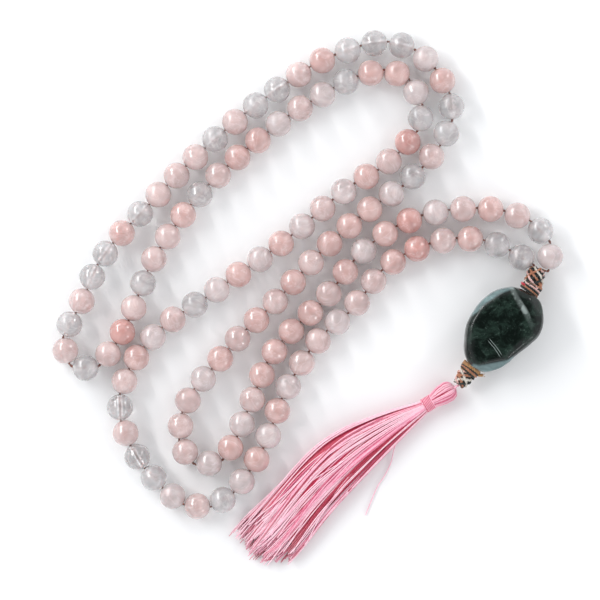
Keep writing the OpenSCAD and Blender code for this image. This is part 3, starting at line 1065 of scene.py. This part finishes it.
@dataclass
class GuruStone:
    """A tumbled, polished nugget with a broad face and bevels, drilled along its length."""

    start: Vector
    along: Vector
    length: float = 28.5 * MM
    width: float = 20.5 * MM
    thickness: float = 12.5 * MM
    bore: float = 0.85 * MM
    seat: float = 3.75 * MM
    seat_depth: float = 0.5 * MM
    drill_reach: float = 8 * MM
    outline: Sequence[tuple[float, float]] = (
        (0.01, -0.02), (0.03, -0.15), (0.08, -0.28), (0.2, -0.41), (0.36, -0.48), (0.53, -0.49),
        (0.71, -0.43), (0.87, -0.3), (0.95, -0.2), (1, -0.07), (1, 0.06), (0.96, 0.2),
        (0.85, 0.33), (0.73, 0.39), (0.63, 0.41), (0.46, 0.48), (0.31, 0.51), (0.16, 0.44),
        (0.04, 0.28), (0, 0.13))
    layers: Sequence[tuple[float, float, float]] = (
        (0.0, 0.0, 0.0), (0.0, 0.35, 0.35), (0.0, 0.6, 0.6), (0.04, 0.74, 0.74),
        (0.14, 0.88, 0.88), (0.35, 0.99, 0.99), (0.6, 1.0, 1.0), (0.78, 0.985, 0.98),
        (0.89, 0.95, 0.93), (0.95, 0.87, 0.84), (0.98, 0.7, 0.66), (0.995, 0.4, 0.36),
        (1.0, 0.0, 0.0))
    facets: Sequence[tuple[float, float, float]] = (
        (124, 44, 8.5), (281, 44, 8.8), (28, 50, 11.9), (200, 50, 10.9), (330, 52, 9.6))
    edge: float = 0.2 * MM
    around: int = 168
    steps: int = 7

    def _shape(self) -> Weave:
        """The nugget before drilling.

        Returns:
            The nugget's mesh.
        """
        side = across(self.along)
        corners = [Vector((a, b, 0)) for a, b in self.outline]
        loop = curve_through([*corners[-2:], *corners, *corners[:2]], 0.01)
        low = min(range(len(loop) // 3), key=lambda i: (loop[i] - corners[0]).length)
        high = min(range(len(loop) * 2 // 3, len(loop)),
                   key=lambda i: (loop[i] - corners[0]).length)
        ring = resampled(loop[low:high + 1], 0.01)
        ring = [ring[round(i * (len(ring) - 1) / self.around)] for i in range(self.around)]
        rows = []
        for (h0, a0, b0), (h1, a1, b1) in zip(self.layers, self.layers[1:]):
            for k in range(self.steps):
                t = k / self.steps
                rows.append((h0 + (h1 - h0) * t, a0 + (a1 - a0) * t, b0 + (b1 - b0) * t))
        rows = rows[1:] + [self.layers[-1]]
        for _ in range(3):
            rows = [rows[0]] + [tuple((x + 2 * y + z) / 4 for x, y, z in zip(p, q, r))
                                for p, q, r in zip(rows, rows[1:], rows[2:])] + [rows[-1]]
        weave = Weave()
        for height, long_size, wide_size in rows:
            for place in ring:
                along = ((place.x - 0.5) * long_size + 0.5) * self.length
                aside = ((place.y - 0.01) * wide_size + 0.01) * self.width
                point = self.start + self.along * along + side * aside
                point.z = height * self.thickness
                worn = noise.noise(point * 160) * 0.22 * MM + noise.noise(point * 420) * 0.06 * MM
                push = Vector((point.x, point.y, 0)) - Vector((self.start.x, self.start.y, 0)) \
                    - self.along * self.length / 2
                point += push.normalized() * worn * min(1.0, long_size)
                point.z += (0.5 * worn if height > 0.3 else 0)
                weave.points.append(self._ground(point))
        return weave.skin(self.around)

    def _ground(self, point: Vector) -> Vector:
        """A point of the nugget moved in where a facet was ground off it.

        Args:
            point: The point of the tumbled nugget.

        Returns:
            The point after grinding.
        """
        middle = self.start + self.along * (self.length / 2)
        middle.z = self.thickness / 2
        for turn, tilt, reach in self.facets:
            slope = math.radians(tilt)
            normal = heading(turn) * math.sin(slope) + UP * math.cos(slope)
            deep = reach * MM * math.sin(slope) + (self.thickness * 0.47) * math.cos(slope)
            over = (point - middle).dot(normal) - deep
            point = point - normal * ((over + math.hypot(over, self.edge)) / 2
                                      if over > -4 * self.edge else 0.0)
        return point

    def build(self, body: str, finish: Finish) -> None:
        """Makes the stone and drills it.

        Args:
            body: The body that it rides on.
            finish: Its polish.
        """
        stone = self._shape().piece("guru_stone_polished", finish, body, ["guru_stone"], 180)
        work = bmesh.new()
        work.from_mesh(stone.data)
        bmesh.ops.remove_doubles(work, verts=work.verts, dist=2e-5)
        bmesh.ops.recalc_face_normals(work, faces=work.faces)
        work.to_mesh(stone.data)
        work.free()
        below, above = -self.drill_reach, self.length + self.drill_reach
        for name, low, high, radius in (("bore", below, above, self.bore),
                                        ("near", below, self.seat_depth, self.seat),
                                        ("far", self.length - self.seat_depth, above, self.seat)):
            cutter = Weave().turned(self.start, self.along, [(low, radius), (high, radius)], 64)
            drill = shell(f"{name}_drill", cutter.points, cutter.faces)
            cut = stone.modifiers.new(name, "BOOLEAN")
            cut.operation, cut.object, cut.solver = "DIFFERENCE", drill, "EXACT"
            stone.data = bpy.data.meshes.new_from_object(
                stone.evaluated_get(bpy.context.evaluated_depsgraph_get()))
            stone.modifiers.clear()
            bpy.data.objects.remove(drill)
        smoothed(stone, 50)
        log.info("guru stone: drilled, %d faces", len(stone.data.polygons))


# --- tassel


class Shade(Enum):
    """The shades of the tassel's silk."""

    PALE = "pale"
    MID = "mid"
    ROSE = "rose"
    DEEP = "deep"


@dataclass
class Tassel:
    """A silk tassel lying on its side: looped head, bound neck and a skirt of loose threads."""

    head: Vector
    along: Vector
    seed: int = 7
    head_length: float = 7.7 * MM
    head_radius: float = 2.95 * MM
    neck_length: float = 3.4 * MM
    neck_radius: float = 2.0 * MM
    neck_lap: float = 0.2 * MM
    binding: float = 0.17 * MM
    skirt_heading: float = 221.5
    skirt_length: float = 69.0 * MM
    skirt_thickness: float = 6.4 * MM
    locks: int = 100
    lock_threads: int = 5
    loose: int = 24
    thread: float = 0.21 * MM
    stations: Sequence[tuple[float, float, float, float, float]] = (
        (0.0, -1.9, 1.9, 0.6, 1.6), (0.06, -4, 2.3, 0.68, 1.0), (0.12, -6.4, 2.5, 0.8, 0.5),
        (0.25, -10.2, 3.1, 0.95, 0.15), (0.38, -13.2, 3.8, 1, 0.15), (0.52, -14, 4.6, 0.98, 0.15),
        (0.65, -13.4, 5.6, 0.9, 0.15), (0.8, -12.6, 7.8, 0.78, 0.15), (0.9, -12, 8.8, 0.66, 0.15),
        (0.97, -11.2, 8.8, 0.55, 0.15), (1.06, -10, 8.4, 0.42, 0.15))
    stray: Sequence[tuple[float, float, float]] = (
        (11, -1, 3.6), (14, 2.6, 2.4), (16, 4, 1.2), (19, 6.2, 0.5), (23, 7.9, 0.4),
        (27, 9, 0.4), (31.5, 11.1, 0.4), (35.5, 13.1, 0.4))
    girth: Sequence[tuple[float, float]] = (
        (0, 0.34), (0.04, 0.5), (0.12, 0.82), (0.3, 1.0), (0.6, 0.96), (0.82, 0.82), (1.0, 0.66))

    head_threads: int = 150
    windings: int = 6

    def __post_init__(self) -> None:
        """Works out where the skirt starts, and mixes the silks."""
        self.fall = heading(self.skirt_heading)
        self.skirt = self.head + self.along * (self.head_length + self.neck_length - self.neck_lap)
        self.silks = {shade: self.silk(f"silk_{shade.value}", "silk", *dyes) for shade, dyes in (
            (Shade.PALE, ((243, 186, 203), (252, 218, 227))),
            (Shade.MID, ((234, 150, 176), (245, 186, 204))),
            (Shade.ROSE, ((214, 98, 130), (230, 134, 160))),
            (Shade.DEEP, ((176, 38, 66), (200, 70, 98))))}

    def silk(self, name: str, slot: str, shade: tuple[int, int, int],
             light: tuple[int, int, int]) -> Silk:
        """One shade of this tassel's silk."""
        return Silk(name, slot, colour(*shade), colour(*light), self.skirt, self.fall)

    def _pick_painted_shade(self, rng: random.Random, height: float) -> Shade:
        """A shade for one thread, paler the higher it lies (-1 to 1): painted light on the upper threads, painted
        shade on the lower ones that show in the gaps.

        Args:
            rng: Source of the draw.
            height: Height in the skirt.

        Returns:
            The shade.
        """
        if height > 0.15:
            return rng.choices(list(Shade), (40, 28, 17, 15))[0]
        return rng.choices(list(Shade), (6, 20, 34, 40))[0]

    def _section(self, share: float) -> tuple[float, float, float, float]:
        """Left edge, right edge, thickness and underside of the skirt at a share of its length.

        Args:
            share: Share of the skirt's length.

        Returns:
            The four sizes, in metres.
        """
        near = [share + d for d in (-0.06, -0.03, 0, 0.03, 0.06)] if share > 0.06 else [share]
        left, right, high, under = (
            float(np.mean([read_off(self.stations, at, k) for at in near])) for k in range(1, 5))
        return left * MM, right * MM, high * self.skirt_thickness, under * MM

    def _thread_line(self, u: float, v: float, drift: float, sway: float, wave: float,
                     beat: float, full: float) -> list[Vector]:
        """The middle of one skirt thread.

        Args:
            u: Its place across the skirt, from -1 to 1.
            v: Its place in the skirt's thickness, from -1 to 1.
            drift: How far it strays across by its tip.
            sway: Start of its waves.
            wave: Height of its waves.
            beat: Number of its waves.
            full: Its length as a share of the skirt's.

        Returns:
            The line's points.
        """
        side = across(self.fall)
        line = []
        for k in range(26):
            s = full * k / 25
            left, right, high, under = self._section(s)
            uu = u + drift * s * s + wave * s * math.sin(sway + beat * 6.3 * s)
            uu = max(-1.0, min(1.0, uu))
            room = math.sqrt(max(0.0, 1 - min(1.0, uu * uu))) * 0.92
            vv = max(-room, min(room, v * (1 - 0.2 * s) + 0.06 * s * math.cos(sway * 2 + beat * 5 * s)))
            point = self.skirt + self.fall * (s * self.skirt_length) \
                + side * ((left + right) / 2 + (right - left) / 2 * uu)
            point.z = max(under + high / 2 * (1 + vv), self.thread)
            line.append(point)
        return line

    def skirt_threads(self) -> None:
        """Makes the loose threads of the skirt, which hang together in small locks."""
        rng = random.Random(self.seed)
        weaves = {shade: Weave() for shade in Shade}
        for _ in range(self.locks):
            angle = rng.uniform(0, 2 * math.pi)
            reach = math.sqrt(rng.uniform(0.02, 1))
            u, v = reach * math.cos(angle), reach * math.sin(angle)
            drift, sway = rng.gauss(0, 0.14), rng.uniform(0, 6.3)
            wave, beat = rng.uniform(0.02, 0.09), rng.uniform(0.8, 2.2)
            full = rng.uniform(0.95, 1.01) - (0.06 if rng.random() < 0.08 else 0)
            full *= 1 - 0.12 * max(0.0, u - 0.1)
            # Upper threads mostly take paler silk and lower ones deeper silk: painted light on top, painted shade
            # in the gaps.
            shade = self._pick_painted_shade(rng, v)
            for _ in range(self.lock_threads):
                line = self._thread_line(
                    u + rng.gauss(0, 0.034), v + rng.gauss(0, 0.08), drift + rng.gauss(0, 0.045),
                    sway + rng.gauss(0, 0.3), wave, beat, full + rng.gauss(0, 0.012))
                own = shade if rng.random() < 0.7 else self._pick_painted_shade(rng, v)
                weaves[own].tube(
                    line, lambda t: self.thread * (1 - 0.4 * max(0.0, t - 0.9) / 0.1), 5)
        for _ in range(self.loose):
            line = self._thread_line(
                rng.uniform(-0.6, 0.7), rng.uniform(0.6, 0.98), rng.gauss(0, 0.4),
                rng.uniform(0, 6.3), rng.uniform(0.06, 0.18), rng.uniform(0.8, 1.7),
                rng.uniform(0.86, 0.93))
            weaves[Shade.PALE].tube(line, self.thread * 0.9, 5)
        for shade, weave in weaves.items():
            weave.piece(f"tassel_skirt_{shade.value}", self.silks[shade], "tassel",
                        ["tassel_skirt"], 80)

    def skirt_core(self) -> None:
        """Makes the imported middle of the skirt, which shows only as shade between threads."""
        side = across(self.fall)
        weave = Weave()
        sides = 28
        for s in (0.0, 0.04, 0.08, 0.14, 0.22, 0.3, 0.4, 0.5, 0.6, 0.7, 0.78, 0.84):
            left, right, high, under = self._section(s)
            for k in range(sides):
                a = 2 * math.pi * k / sides
                y = (left + right) / 2 + (right - left) / 2 * 0.82 * math.cos(a)
                point = self.skirt + self.fall * (s * self.skirt_length) + side * y
                point.z = under + high / 2 * (1 + 0.68 * math.sin(a))
                weave.points.append(point)
        weave.skin(sides).piece("tassel_skirt_middle", self.silks[Shade.DEEP], "tassel",
                                ["tassel_skirt"])

    def stray_thread(self) -> None:
        """Makes the one thread that has come away from the skirt."""
        points = []
        for at, aside, z in self.stray:
            points.append(self.skirt + (self.fall * at + across(self.fall) * aside) * MM)
            points[-1].z = z * MM
        Weave().tube(curve_through(points, 0.6 * MM), self.binding, 6).piece(
            "tassel_stray_thread", self.silks[Shade.PALE], "tassel", ["stray_thread"])

    def _girth(self, share: float) -> float:
        """Radius of the head at a share of its length."""
        return self.head_radius * read_off(self.girth, share)

    def folded_head(self) -> None:
        """Makes the silk folded over the loop and gathered into the neck."""
        rng = random.Random(self.seed + 1)
        side = self.along.cross(UP).normalized()
        up = side.cross(self.along)
        whole = self.head_length + self.neck_length
        profile = [(self.head_length * t, self._girth(t) - self.thread * 1.2)
                   for t in np.linspace(0, 1, 16)]
        profile += [(whole * 0.999, self.neck_radius * 0.86)]
        # The middle under the head's threads is deep silk: painted shade in the grooves between them.
        Weave().turned(self.head, self.along, profile, 36).piece(
            "tassel_head_middle", self.silks[Shade.DEEP], "tassel", ["tassel_head"])
        weaves = {shade: Weave() for shade in Shade}
        for k in range(self.head_threads):
            turn = 2 * math.pi * k / self.head_threads + rng.uniform(-0.03, 0.03)
            lean = 0.3 * math.sin(turn * 2 + 1) + rng.uniform(-0.2, 0.2)
            depth = rng.choice((-0.12, -0.04, 0.0, 0.06, 0.14)) * MM
            line = []
            for t in np.linspace(0, 1, 20):
                at = whole * t
                r = self._girth(at / self.head_length) if at < self.head_length else self.neck_radius
                tuck = math.sqrt(min(1.0, t / 0.05 + 0.12))
                line.append(self.head + self.along * at
                            + spoke(side, up, turn + lean * t) * (r * tuck - depth))
            # Threads on top of the head take paler silk and those beneath take deeper silk: painted light and
            # shade.
            weaves[self._pick_painted_shade(rng, math.sin(turn))].tube(line, self.thread * 0.62, 6)
        for shade, weave in weaves.items():
            weave.piece(f"tassel_head_{shade.value}", self.silks[shade], "tassel")

    def neck_binding(self, finish: Finish) -> None:
        """Makes the two fine threads wound around the neck.

        Args:
            finish: Silk of the winding.
        """
        side = self.along.cross(UP).normalized()
        up = side.cross(self.along)
        room = (self.neck_length - 0.5 * MM) / (self.windings + 0.5)
        for name, silk, shift in (("winding", finish, 0.0), ("tie", self.silks[Shade.DEEP], 0.5)):
            line = []
            for wound in np.linspace(0, self.windings, self.windings * 22):
                a = 2 * math.pi * wound
                at = self.head_length + (0.25 + 0.2 * math.sin(a)) * MM + room * (wound + shift)
                line.append(self.head + self.along * at
                            + spoke(side, up, a) * (self.neck_radius + self.binding))
            Weave().tube(line, self.binding, 8).piece(
                f"tassel_neck_{name}", silk, "tassel", ["tassel_neck_binding"])

    def build(self, binding: Finish) -> None:
        """Makes the whole tassel.

        Args:
            binding: Silk of the neck's winding.
        """
        self.folded_head()
        self.neck_binding(binding)
        self.skirt_core()
        self.skirt_threads()
        self.stray_thread()


# --- the pendant


@dataclass
class Pendant:
    """Everything that hangs from the two ends of the stringing cord."""

    places: Frame

    def __post_init__(self) -> None:
        """Finds the pendant's line in the frame."""
        self.meeting = self.places.pin("pendant_lift")
        self.stone_start = self.places.pin("guru_spin")
        self.stone_along = self.places.axis("guru_spin")
        lift = self.places.axis("tassel_lift")
        self.tassel_along = Vector((-lift.y, lift.x, 0)).normalized()
        self.tassel_pin = self.places.pin("tassel_lift")

    def along_stone(self, at: float) -> Vector:
        """A point on the stone's bore line, from its upper end."""
        return self.stone_start + self.stone_along * at

    def upper_knot(self) -> None:
        """Makes the plaited upper knot, its wraps and the crimson thread end."""
        wraps = self.along_stone(-2.04 * MM)
        top = self.meeting + (self.meeting - wraps).normalized() * 0.5 * MM
        top.z = self.meeting.z + 0.8 * MM
        Plait(top, wraps + self.stone_along * 0.3 * MM,
              ((0, 1.7 * MM), (0.12, 2.1 * MM), (0.3, 2.4 * MM), (1, 2.6 * MM)), 0.4 * MM,
              (BRAID_COPPER, BRAID_BLACK, BRAID_PINK, BRAID_COPPER, BRAID_WHITE, BRAID_BLACK), 0.5,
              carriers=6, flat=0.62).build(
            "upper_knot", "pendant", BRAID_BLACK, ["upper_knot_braid"])
        Collar(wraps - self.stone_along * 0.9 * MM, self.stone_along,
               (BRAID_COPPER, BRAID_BLACK, BRAID_PINK, BRAID_BLACK, BRAID_COPPER, BRAID_BLACK),
               0.5 * MM, True, cord=0.36 * MM, length=3.24 * MM).build(
            "upper_wraps", BRAID_BLACK, "pendant", ["upper_knot_wraps"])
        side = across(self.stone_along)
        foot = wraps + self.stone_along * 1.1 * MM
        stitch = [foot - side * (r * math.sin(a)) * MM + UP * (r * math.cos(a)) * MM
                  for a, r in ((0.8, 3.0), (0.95, 3.25), (1.1, 3.35), (1.25, 3.4))]
        CutEnd(stitch, 0.36 * MM, CRIMSON).build(
            "crimson_thread_end", "pendant", ["red_thread_end"], 3)

    def cord_ends(self, strand: Strand) -> None:
        """Makes the loop in which the two cord ends meet, above the knot.

        Args:
            strand: The strand whose ends meet.
        """
        first, last = strand.ends()
        reach = 0.9 * MM
        points = [self.meeting + (first - self.meeting).normalized() * reach,
                  self.meeting + UP * 0.5 * MM,
                  self.meeting + (last - self.meeting).normalized() * reach]
        Weave().plies(curve_through(points, 0.2 * MM), 0.52 * MM, 1.6 * MM, 3, 8).piece(
            "joined_cord_ends", CORD_BROWN, "cord_legs", ["cord_legs"])

    def lower_end(self) -> None:
        """Makes the tan collar, its cord end and the lower knot."""
        collar = self.along_stone(28.2 * MM)
        Collar(collar, self.stone_along,
               (CORD_TAN, CORD_TAN, BRAID_BLACK, BRAID_COPPER, BRAID_BLACK), 0.35 * MM, False,
               cord=0.38 * MM, length=2.9 * MM).build(
            "lower_collar", CORD_TAN, "pendant", ["lower_wrap_collar"])
        side = across(self.stone_along)
        foot = collar + side * 3.0 * MM + UP * 0.8 * MM + self.stone_along * 1.2 * MM
        CutEnd([foot, foot + side * 0.5 * MM - self.stone_along * 0.3 * MM,
                foot + side * 1.0 * MM - self.stone_along * 0.7 * MM], 0.5 * MM, CORD_TAN).build(
            "collar_thread_end", "pendant", ["collar_cord_end"], 4)
        knot = collar + self.stone_along * 2.5 * MM
        Plait(knot, knot + self.stone_along * 4.6 * MM,
              ((0, 1.9 * MM), (0.3, 2.2 * MM), (0.7, 2.0 * MM), (1, 1.25 * MM)), 0.46 * MM,
              (BRAID_WHITE, BRAID_BLACK, BRAID_COPPER, BRAID_BLACK, BRAID_PINK), 0.62,
              carriers=5).build(
            "lower_knot", "pendant", BRAID_BLACK, ["lower_knot"])

    def tassel_loop(self, finish: Finish) -> None:
        """Makes the eye between the lower knot and the tassel's head.

        Args:
            finish: The eye's silk.
        """
        centre = self.tassel_pin - self.tassel_along * 0.35 * MM
        line = [centre + spoke(self.tassel_along * 1.15 * MM, UP * 0.9 * MM, a)
                for a in np.linspace(0, 2 * math.pi, 33)]
        Weave().plies(line, 0.4 * MM, 1.4 * MM, 2, 8).piece(
            "tassel_eye", finish, "tassel_loop", ["tassel_loop"])

    def core(self) -> None:
        """Dresses the doubled cord through the stone, which stays as the CAD made it."""
        node = frame["nodes"]["guru_cord"]
        node.data.materials.clear()
        node.data.materials.append(BRAID_BLACK.material())

    def build(self, strand: Strand) -> None:
        """Makes the whole pendant.

        Args:
            strand: The strand that it hangs on.
        """
        self.cord_ends(strand)
        self.upper_knot()
        GuruStone(self.stone_start, self.stone_along).build(
            "guru_stone", GuruPolish("guru_polish", "guru_stone", self.stone_start,
                                     self.stone_along, self.along_stone(14.25 * MM)))
        self.core()
        self.lower_end()
        head = self.tassel_pin + self.tassel_along * 0.1 * MM
        head.z = 3.6 * MM
        tassel = Tassel(head, self.tassel_along)
        binding = tassel.silk("silk_binding", "silk_binding", (236, 158, 182), (248, 198, 212))
        self.tassel_loop(binding)
        tassel.build(binding)


# --- studio


@dataclass
class Softbox:
    """A rectangular studio light that faces the mala."""

    name: str
    toward: tuple[float, float, float]
    distance: float
    size: tuple[float, float]
    radiance: float
    long_way: tuple[float, float, float] = (0, 1, 0)

    def build(self) -> None:
        """Hangs the light."""
        data = bpy.data.lights.new(self.name, "AREA")
        data.shape = "RECTANGLE"
        data.size, data.size_y = self.size
        data.energy = self.radiance * self.size[0] * self.size[1] * math.pi
        back = Vector(self.toward).normalized()
        length = Vector(self.long_way)
        length = (length - back * length.dot(back)).normalized()
        turn = Matrix((length.cross(back), length, back)).transposed()
        placed(self.name, data).matrix_world = \
            Matrix.Translation(back * self.distance) @ turn.to_4x4()
        log.info("light %s at %.2f m", self.name, self.distance)


@dataclass
class Studio:
    """Camera, floor and lights."""

    look_at: Vector
    view_width: float = 183.3 * MM
    camera_distance: float = 1.3
    floor_radius: float = 4.0
    lights: Sequence[Softbox] = (
        Softbox("left_window", (-0.62, 0.42, 0.52), 0.9, (0.12, 0.78), 15.0, (0.1, 0.79, -0.5)),
        Softbox("right_upper", (0.68, 0.6, 0.44), 0.9, (0.12, 0.15), 18.0),
        Softbox("right_lower", (0.68, -0.6, 0.44), 0.9, (0.12, 0.15), 15.0),
        Softbox("upper_left_fill", (-0.54, 0.8, 0.24), 1.2, (0.22, 0.7), 4.5, (0.8, 0.54, 0)),
        Softbox("lower_fill", (0.19, -0.93, 0.3), 1.2, (0.2, 0.5), 2.2, (1, 0.2, 0)),
    )
    sky_light: float = 1.08
    sky_dark: float = 0.12

    def camera(self) -> None:
        """Sets the camera straight above the mala."""
        data = bpy.data.cameras.new("camera")
        data.sensor_width = 36
        data.lens = data.sensor_width * self.camera_distance / self.view_width
        data.clip_start, data.clip_end = 0.01, 20
        made = placed("camera", data)
        made.location = self.look_at + UP * self.camera_distance
        bpy.context.scene.camera = made

    def floor(self) -> None:
        """Lays the pale floor."""
        ring = [heading(360 * k / 96) * self.floor_radius - UP * 0.04 * MM for k in range(96)]
        made = shell("floor", ring, [range(96)])
        made.data.materials.append(Paper("floor_paper", "", (0.9, 0.9, 0.9)).material())

    def sky(self) -> None:
        """Fills the room with even light, with a dark hood straight above."""
        world = bpy.data.worlds.new("studio")
        bpy.context.scene.world = world
        shop = Shop(world)
        hood = shop.toward(shop.node("ShaderNodeTexCoord"), UP).band(0.84, 0.95)
        shade = shop.mix(hood, (0.95, 0.97, 1.0), (self.sky_dark,) * 3)
        shop.finished("ShaderNodeOutputWorld", shop.node(
            "ShaderNodeBackground", {}, {"Color": shade, "Strength": self.sky_light}))

    def build(self) -> None:
        """Makes the studio."""
        self.camera()
        self.floor()
        self.sky()
        for light in self.lights:
            light.build()
        bpy.context.scene.view_settings.view_transform = "Standard"


def main() -> None:
    """Builds the studio and the mala."""
    logging.basicConfig(level=logging.INFO, format="%(name)s: %(message)s")
    places = Frame()
    Studio(Vector((-2.34 * MM, 0.25 * MM, 0))).build()
    strand = Strand(places)
    strand.beads()
    strand.cords()
    Pendant(places).build(strand)


if __name__ == "__main__":
    main()
